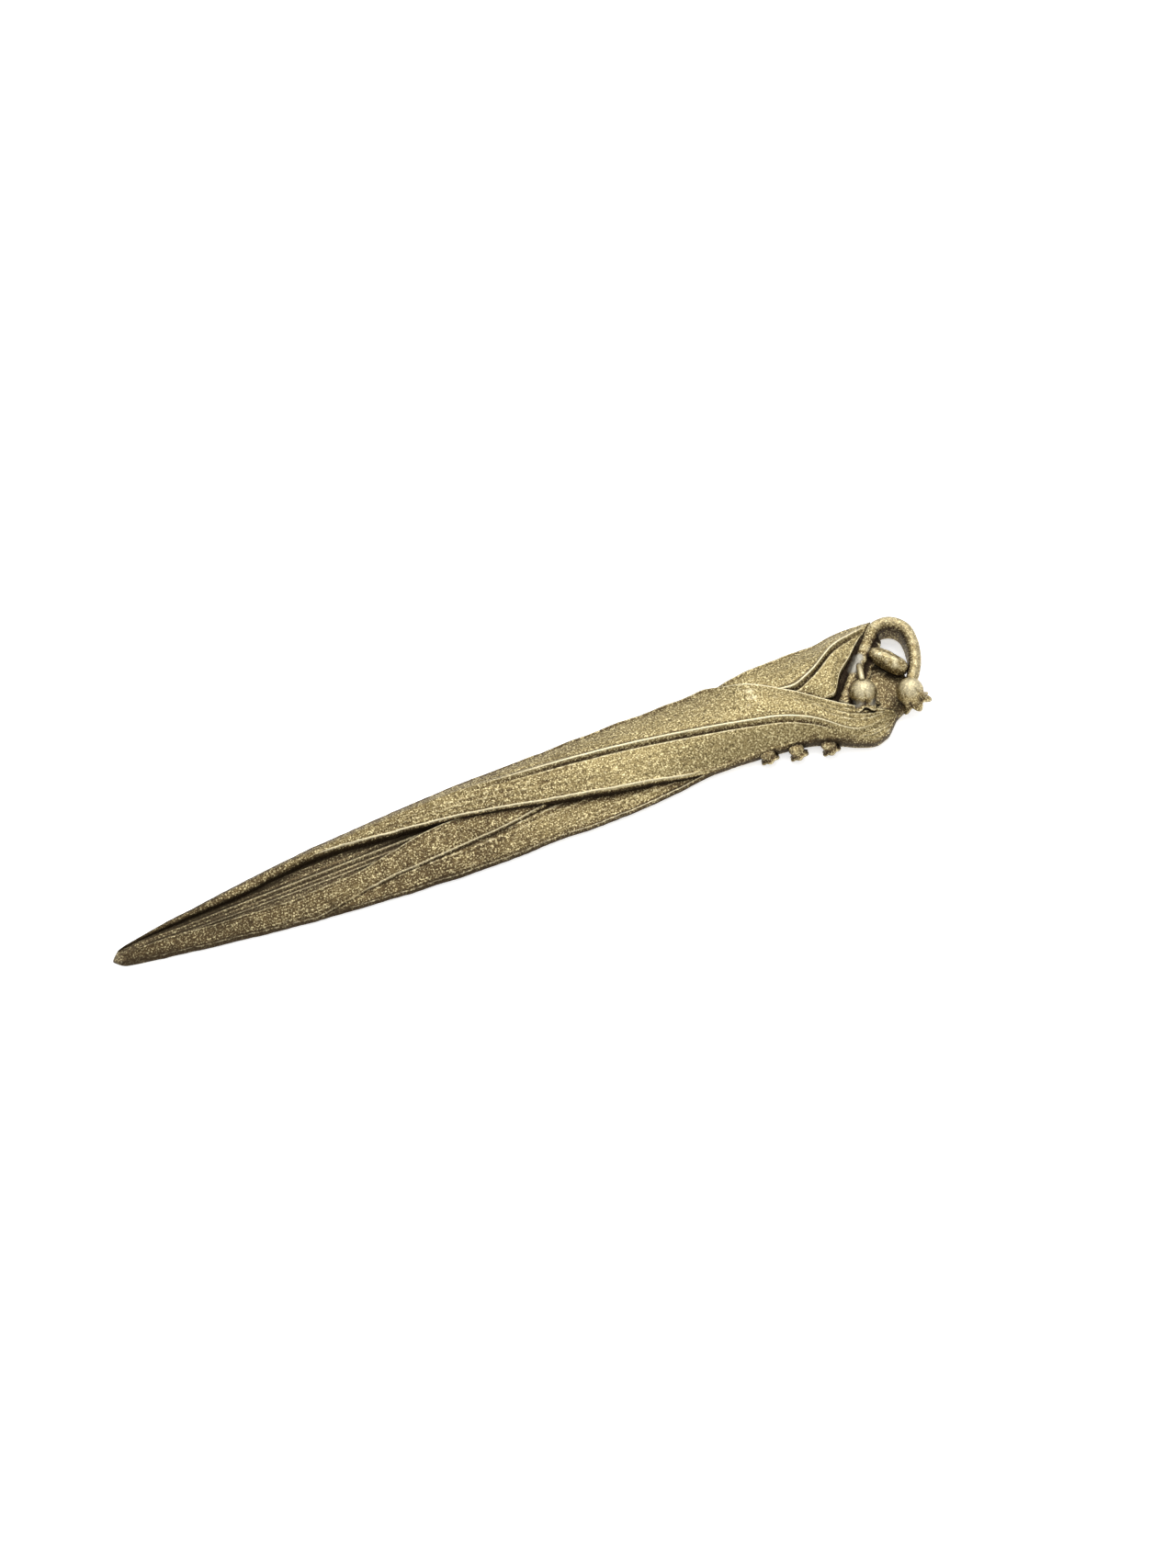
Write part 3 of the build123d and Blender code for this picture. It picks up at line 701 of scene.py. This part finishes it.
# The closed flower across the loop
bud = {
    "length": 12.0,
    "width": 5.3,
    "blunt": 2.6,  # 2 is an ellipse, more is blunter
    "shift": (-3.15, -6.3, 0.15),  # from the middle of the loop
    "heading": math.atan2(-0.81, 0.58),
    "petals": 3,
    "crease": 0.1,
    "creaseSharp": 6,
    "lumps": 0.25,
    "lumpSize": 2,
    "seed": 7,  # without one, noise_vector draws its offsets from the clock
    "segments": 60,
    "rings": 40,
}
noise.seed_set(bud["seed"])
bm = bmesh.new()
bmesh.ops.create_uvsphere(bm, u_segments=bud["segments"], v_segments=bud["rings"], radius=1)
for vert in bm.verts:
    angle = math.atan2(vert.co.y, vert.co.x)
    crease = max(0, -math.cos(bud["petals"] * angle)) ** bud["creaseSharp"]
    slim = 1 - bud["crease"] * crease * (1 - vert.co.z**2)
    taper = (1 - min(1, abs(vert.co.z)) ** bud["blunt"]) ** (1 / bud["blunt"])
    out = bud["width"] / 2 * slim * taper
    vert.co = Vector((vert.co.z * bud["length"] / 2, out * math.cos(angle), out * math.sin(angle)))
    vert.co += bud["lumps"] * noise.noise_vector(vert.co / bud["lumpSize"])
budPlace = Matrix.Translation(loopMiddle + Vector(bud["shift"])) @ Matrix.Rotation(bud["heading"], 4, "Z")
bmesh.ops.transform(bm, matrix=budPlace, verts=bm.verts)
pieces.append(finishPiece(bm, "bud", "bud", "bronze_flower"))
print("flowers done, pieces:", len(pieces))

# Shelter of every point from the light, painted as shade together with patina, and the painted highlight
# on what is rubbed clean
shelter = {
    "rays": 18,
    "reach": 3.8,
    "lift": 0.04,  # rays start this far off the surface
    "smoothing": 10,
    "proudFull": 0.12,  # height at which a ridge gets its full painted highlight, as rubbed clean
    "facing": (1.5, 0.4),  # gain and loss on the rise of the normal: only what faces up to the light gets the painted highlight
    "steep": 0.6,  # rise of the normal under which a side gets painted shade
    "wallShade": 0.5,  # painted shade on such sides of leaves and ground
    # painted shade along leaf edges that turn away from the light
    "edgeShade": 0.3,
    "edgeWidth": 1.2,
    "litEdge": 0.5,  # how far inside an edge its bright line lies
    "litWidth": 0.4,
    "litFade": 8.0,  # length over which such a line begins and ends
    "ringShade": 0.6,  # painted shade, with some patina, on the inner side of the loop
    "runDarken": 0.2,  # darker stem between the leaves
    "headDarken": 0.12,  # darker ground between the flowers
    "headFrom": 1.7,
    "bellShade": 0.2,  # painted shade on the small bells under the near edge
    # grey on the stem and the left bell: worn metal with a painted glint
    "greyAt": ((101.6, 6.9, 7), (100.2, 5.4, 7), (98.9, 4, 7), (96, -6.4, 7), (99.4, -7.2, 6.8)),
    "greySize": 2.6,
}
corners, polygons = [], []
for piece in pieces:
    first = len(corners)
    corners += [vert.co.copy() for vert in piece.data.vertices]
    polygons += [[first + k for k in polygon.vertices] for polygon in piece.data.polygons]
metal = BVHTree.FromPolygons(corners, polygons)
rays = []
for k in range(shelter["rays"]):
    rise = math.sqrt(1 - (k + 0.5) / shelter["rays"])
    turn = k * math.pi * (3 - math.sqrt(5))
    flat = math.sqrt(1 - rise * rise)
    rays.append(Vector((flat * math.cos(turn), flat * math.sin(turn), rise)))


def hiddenShare(place, normal):
    # how much of the sky over a point is hidden by metal, the more the nearer it is
    reach = shelter["reach"] * mm
    turned = normal.to_track_quat("Z", "Y").to_matrix()
    origin = place + normal * shelter["lift"] * mm
    hidden = 0.0
    for ray in rays:
        distance = metal.ray_cast(origin, turned @ ray, reach)[3]
        hidden += 1 - distance / reach if distance is not None else 0
    return hidden / len(rays)


# painted shade of a leaf: its overall tone and darker bands along its edges
def leafShade(leaf, x, y):
    shadeTone = leaf["shadeTone"]
    for side, start, end in leaf["shadedEdges"]:
        if along(start) < x < along(end):
            shadeTone += shelter["edgeShade"] * bump(y - edgeAt(x, leaf, side), shelter["edgeWidth"])
    return shadeTone


def leafLight(leaf, x, y):
    # painted highlight lines on the midrib and along rubbed edges
    light = leaf["ribSize"](x) * bump(y - across(x, leaf["rib"](x)), shelter["litWidth"])
    for side, start, end, strength in leaf["lit"]:
        inside = edgeAt(x, leaf, side) + shelter["litEdge"] * (1 if side == "near" else -1)
        fade = min(1, max(0, min(x - along(start), along(end) - x) / shelter["litFade"]))
        light = max(light, strength * fade * bump(y - inside, shelter["litWidth"]))
    return light


def shadeAt(name, place, normal):
    # darkening a piece gets beside its shelter: painted shade on steep sides, leaf edges, the loop and the
    # small bells, and a darker stem run and head ground
    shadeTone = 0.0
    if name in leaves or name == "bladeGround":
        shadeTone += shelter["wallShade"] * max(0, 1 - abs(normal.z) / shelter["steep"])
    if name in leaves:
        shadeTone += leafShade(leaves[name], place.x, place.y)
    if name == "bladeGround":
        shadeTone += shelter["headDarken"] * (place.x > along(shelter["headFrom"]))
    if name == "flowerStem":
        inward = (loopMiddle - place).normalized().dot(normal)
        shadeTone += shelter["ringShade"] * max(0, inward) + shelter["runDarken"] * (place.x < loopStart.x)
    if name.startswith("sideBell"):
        shadeTone += shelter["bellShade"]
    return shadeTone


for piece in pieces:
    mesh = piece.data
    leaf = leaves.get(piece.name)
    shadeAndPatina, lit, grey = [], [], []
    for vert in mesh.vertices:
        place = vert.co / mm
        # painted shade from shelter and from the darkening below, together with patina in the hollows
        shadeAndPatina.append(hiddenShare(vert.co, vert.normal) + shadeAt(piece.name, place, vert.normal))
        lit.append(leafLight(leaf, place.x, place.y) if leaf else 0.0)
        spot = min((place - Vector(wornGlint)).length for wornGlint in shelter["greyAt"])
        grey.append(max(0, 1 - spot / shelter["greySize"]))
    places = np.array([vert.co for vert in mesh.vertices])
    normals = np.array([vert.normal for vert in mesh.vertices])
    pairs = np.array([edge.vertices[:] for edge in mesh.edges])
    counts = np.bincount(pairs.ravel(), minlength=len(places))[:, None]
    softened = places.copy()
    for step in range(shelter["smoothing"]):
        total = np.zeros_like(places)
        np.add.at(total, pairs[:, 0], softened[pairs[:, 1]])
        np.add.at(total, pairs[:, 1], softened[pairs[:, 0]])
        softened = 0.5 * softened + 0.5 * total / counts
    proud = ((places - softened) * normals).sum(1) / mm
    # painted highlight, together with rubbed wear, on lit lines and ridges that face up to the light
    gain, loss = shelter["facing"]
    upward = np.clip(gain * normals[:, 2] - loss, 0, 1)
    rubbedSheen = upward * np.maximum(lit, np.clip(proud / shelter["proudFull"], 0, 1))
    for name, values in (("shadeAndPatina", shadeAndPatina), ("proud", proud), ("rubbedSheen", rubbedSheen), ("grey", grey)):
        mesh.attributes.new(name, "FLOAT", "POINT").data.foreach_set("value", values)
    spread = np.percentile(proud, [2, 50, 98]).round(3)
    print(piece.name, "shadeAndPatina", round(float(np.mean(shadeAndPatina)), 3), "proud", spread)
print("shelter done")


def linear(hexColour):
    # sRGB hex to the linear colour that nodes work in
    parts = [int(hexColour[k : k + 2], 16) / 255 for k in (1, 3, 5)]
    return [*(c / 12.92 if c <= 0.04045 else ((c + 0.055) / 1.055) ** 2.4 for c in parts), 1]


def addNode(tree, kind, inputs, out=0, **settings):
    # adds a node, sets it, links or fills its inputs, and gives back one of its outputs
    node = tree.nodes.new(kind)
    for key, value in settings.items():
        setattr(node, key, value)
    for key, value in inputs.items():
        if isinstance(value, bpy.types.NodeSocket):
            tree.links.new(value, node.inputs[key])
        else:
            node.inputs[key].default_value = value
    return node.outputs[out] if node.outputs else None


def newMaterial(name):
    material = bpy.data.materials.new(name)
    material.use_nodes = True
    material.node_tree.nodes.clear()
    return material, material.node_tree


# Grain of the casting in millimetres, as size and detail: sand, which is drawn coarse enough to show,
# rubbed blotches and clouds of patina
grain = {"sand": (0.48, 2.0), "blotch": (3.0, 3.0), "cloud": (22.0, 2.0)}
bronze = {
    "spark": "#eddfae",  # painted glint on single grains
    "rubbedSheen": "#f6ebc6",  # clean metal and painted highlight on rims and midribs
    "wornGlint": "#99958a",  # grey metal where the plating is gone, with a painted glint
    "grainRough": 0.65,
    "bump": 0.25,  # millimetres
    "bumpStrength": 0.8,
    "deep": 0.5,  # shelter at which the patina is roughest
    "deepRough": 0.2,  # and how much rougher it is there
}


def castBronze(name, gold, brown, dark, rough, shine):
    # sand-cast bronze: gold on the high places, brown patina and painted shade in the low ones, painted
    # highlight on rims, a sandy sparkle of painted glints all over
    material, tree = newMaterial(name)
    place = addNode(tree, "ShaderNodeTexCoord", {}, "Object")
    lengthwise = addNode(tree, "ShaderNodeSeparateXYZ", {"Vector": place}, "X")
    shadeAndPatina, proud, rubbedSheen, grey = (
        addNode(tree, "ShaderNodeAttribute", {}, "Fac", attribute_name=key)
        for key in ("shadeAndPatina", "proud", "rubbedSheen", "grey")
    )
    noises = {}
    for key, (size, detail) in grain.items():
        inputs = {"Scale": 1 / (size * mm), "Detail": detail, "Roughness": bronze["grainRough"]}
        noises[key] = addNode(tree, "ShaderNodeTexNoise", {"Vector": place, **inputs}, "Fac")
    low = shadeAndPatina
    for source, fromMin, fromMax, toMin, toMax in (
        (proud, 0.04, -0.1, -0.06, 0.4),  # grooves are darker than ridges
        (noises["blotch"], 0.3, 0.7, 0.06, -0.06),
        (noises["cloud"], 0.3, 0.7, 0.08, -0.08),
        (lengthwise, -0.12, 0.1, 0.31, -0.13),  # darker towards the tip, lighter at the head: patina, and painted shade that evens out the overhead light
    ):
        inputs = {"From Min": fromMin, "From Max": fromMax, "To Min": toMin, "To Max": toMax}
        part = addNode(tree, "ShaderNodeMapRange", {"Value": source, **inputs})
        low = addNode(tree, "ShaderNodeMath", {0: low, 1: part}, operation="ADD")
    wornGlint = addNode(tree, "ShaderNodeMath", {0: grey, 1: noises["blotch"]}, operation="MULTIPLY")
    colour = linear(gold)
    for source, fromMin, fromMax, most, layer in (
        (low, 0.0, 0.3, 1.0, brown),  # patina and painted shade in low places
        (noises["sand"], 0.54, 0.66, 0.85, bronze["spark"]),  # grains that catch the light
        (low, 0.25, 0.6, 0.9, dark),  # patina and painted shade in deep places
        (noises["sand"], 0.46, 0.34, 0.85, dark),  # pits between the grains
        # painted highlight and rubbed wear on rims and midribs
        (rubbedSheen, 0.2, 0.9, shine, bronze["rubbedSheen"]),
        # grey worn metal with a painted glint
        (wornGlint, 0.12, 0.3, 1.0, bronze["wornGlint"]),
    ):
        inputs = {"Value": source, "From Min": fromMin, "From Max": fromMax, "To Max": most}
        share = addNode(tree, "ShaderNodeMapRange", inputs)
        inputs = {0: share, 6: colour, 7: linear(layer)}  # the sockets of a colour mix
        colour = addNode(tree, "ShaderNodeMix", inputs, 2, data_type="RGBA")
    inputs = {"From Max": bronze["deep"], "To Min": rough, "To Max": rough + bronze["deepRough"]}
    roughness = addNode(tree, "ShaderNodeMapRange", {"Value": low, **inputs})
    height = addNode(tree, "ShaderNodeMath", {0: noises["sand"], 1: noises["blotch"]}, operation="ADD")
    inputs = {"Strength": bronze["bumpStrength"], "Distance": bronze["bump"] * mm, "Height": height}
    normal = addNode(tree, "ShaderNodeBump", inputs)
    inputs = {"Base Color": colour, "Metallic": 1.0, "Roughness": roughness, "Normal": normal}
    shader = addNode(tree, "ShaderNodeBsdfPrincipled", inputs)
    addNode(tree, "ShaderNodeOutputMaterial", {"Surface": shader})
    return material


finishes = {
    # worn gilding: warm gold with rims and midribs bright from wear and painted highlight
    "gilt_leaf": castBronze(
        "giltBronze", gold="#8d7e57", brown="#5f4f36", dark="#3a3023", rough=0.42, shine=0.95
    ),
    # patinated bronze: a dull brown ground that sets off the leaves
    "patinated_ground": castBronze(
        "patinatedBronze", gold="#84724f", brown="#63543e", dark="#4a4031", rough=0.46, shine=0.25
    ),
    # rubbed bronze: brown flowers, bright on the high places from wear and painted highlight
    "bronze_flower": castBronze(
        "rubbedBronze", gold="#8e7d56", brown="#5f4f39", dark="#372c24", rough=0.42, shine=0.5
    ),
}
for piece in pieces:
    piece.data.materials.append(finishes[piece["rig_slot"]])
print("materials done")

# White table that keeps the object's shadow
table = {"size": 60.0, "colour": "#f4f4f4", "glow": 0.5}
bm = bmesh.new()
bmesh.ops.create_grid(bm, x_segments=1, y_segments=1, size=table["size"] / 2)
mesh = bpy.data.meshes.new("tableTop")
bm.to_mesh(mesh)
bm.free()
tableTop = bpy.data.objects.new("tableTop", mesh)
bpy.context.scene.collection.objects.link(tableTop)
# matt white paper: no gloss, and a glow that shows in the picture and in reflections but lights nothing
material, tree = newMaterial("whitePaper")
seen = 0.0
for kind in ("Is Camera Ray", "Is Glossy Ray", "Is Transmission Ray"):
    ray = addNode(tree, "ShaderNodeLightPath", {}, kind)
    seen = addNode(tree, "ShaderNodeMath", {0: seen, 1: ray}, operation="MAXIMUM")
strength = addNode(tree, "ShaderNodeMath", {0: seen, 1: table["glow"]}, operation="MULTIPLY")
glow = addNode(tree, "ShaderNodeEmission", {"Strength": strength})
paper = addNode(tree, "ShaderNodeBsdfDiffuse", {"Color": linear(table["colour"])})
both = addNode(tree, "ShaderNodeAddShader", {0: paper, 1: glow})
addNode(tree, "ShaderNodeOutputMaterial", {"Surface": both})
mesh.materials.append(material)

# Soft studio light: a pale room and two broad panels
studio = {
    "room": 0.85,
    # place in metres, size in metres and power in watts
    "panels": {"overhead": ((0.26, 0.48, 0.85), 0.8, 6.4), "front": ((-0.4, -0.8, 0.7), 0.7, 1.2)},
}
world = bpy.data.worlds.new("studio")
bpy.context.scene.world = world
world.use_nodes = True
world.node_tree.nodes.clear()
sky = addNode(world.node_tree, "ShaderNodeBackground", {"Color": (1, 1, 1, 1), "Strength": studio["room"]})
addNode(world.node_tree, "ShaderNodeOutputWorld", {"Surface": sky})
for name, (place, size, power) in studio["panels"].items():
    light = bpy.data.lights.new(name, "AREA")
    light.size = size
    light.energy = power
    panel = bpy.data.objects.new(name, light)
    panel.location = place
    panel.rotation_euler = (-Vector(place)).to_track_quat("-Z", "Y").to_euler()
    bpy.context.scene.collection.objects.link(panel)
print("table and light done")

# Camera of the photograph
shot = {
    "azimuth": math.radians(-21.9),
    "elevation": math.radians(60),
    "distance": 1.0,
    "aim": (18.3, 0.95, 0),  # millimetres
    "lens": 83.5,
    "sensor": 36,
    "nearest": 0.01,
}
turn, rise = shot["azimuth"], shot["elevation"]
back = Vector((math.sin(turn) * math.cos(rise), -math.cos(turn) * math.cos(rise), math.sin(rise)))
lens = bpy.data.cameras.new("camera")
lens.lens = shot["lens"]
lens.sensor_width = shot["sensor"]
lens.clip_start = shot["nearest"]
camera = bpy.data.objects.new("camera", lens)
camera.location = Vector(shot["aim"]) * mm + back * shot["distance"]
camera.rotation_euler = (-back).to_track_quat("-Z", "Y").to_euler()
bpy.context.scene.collection.objects.link(camera)
bpy.context.scene.camera = camera
bpy.context.scene.view_settings.view_transform = "Standard"
print("camera done")
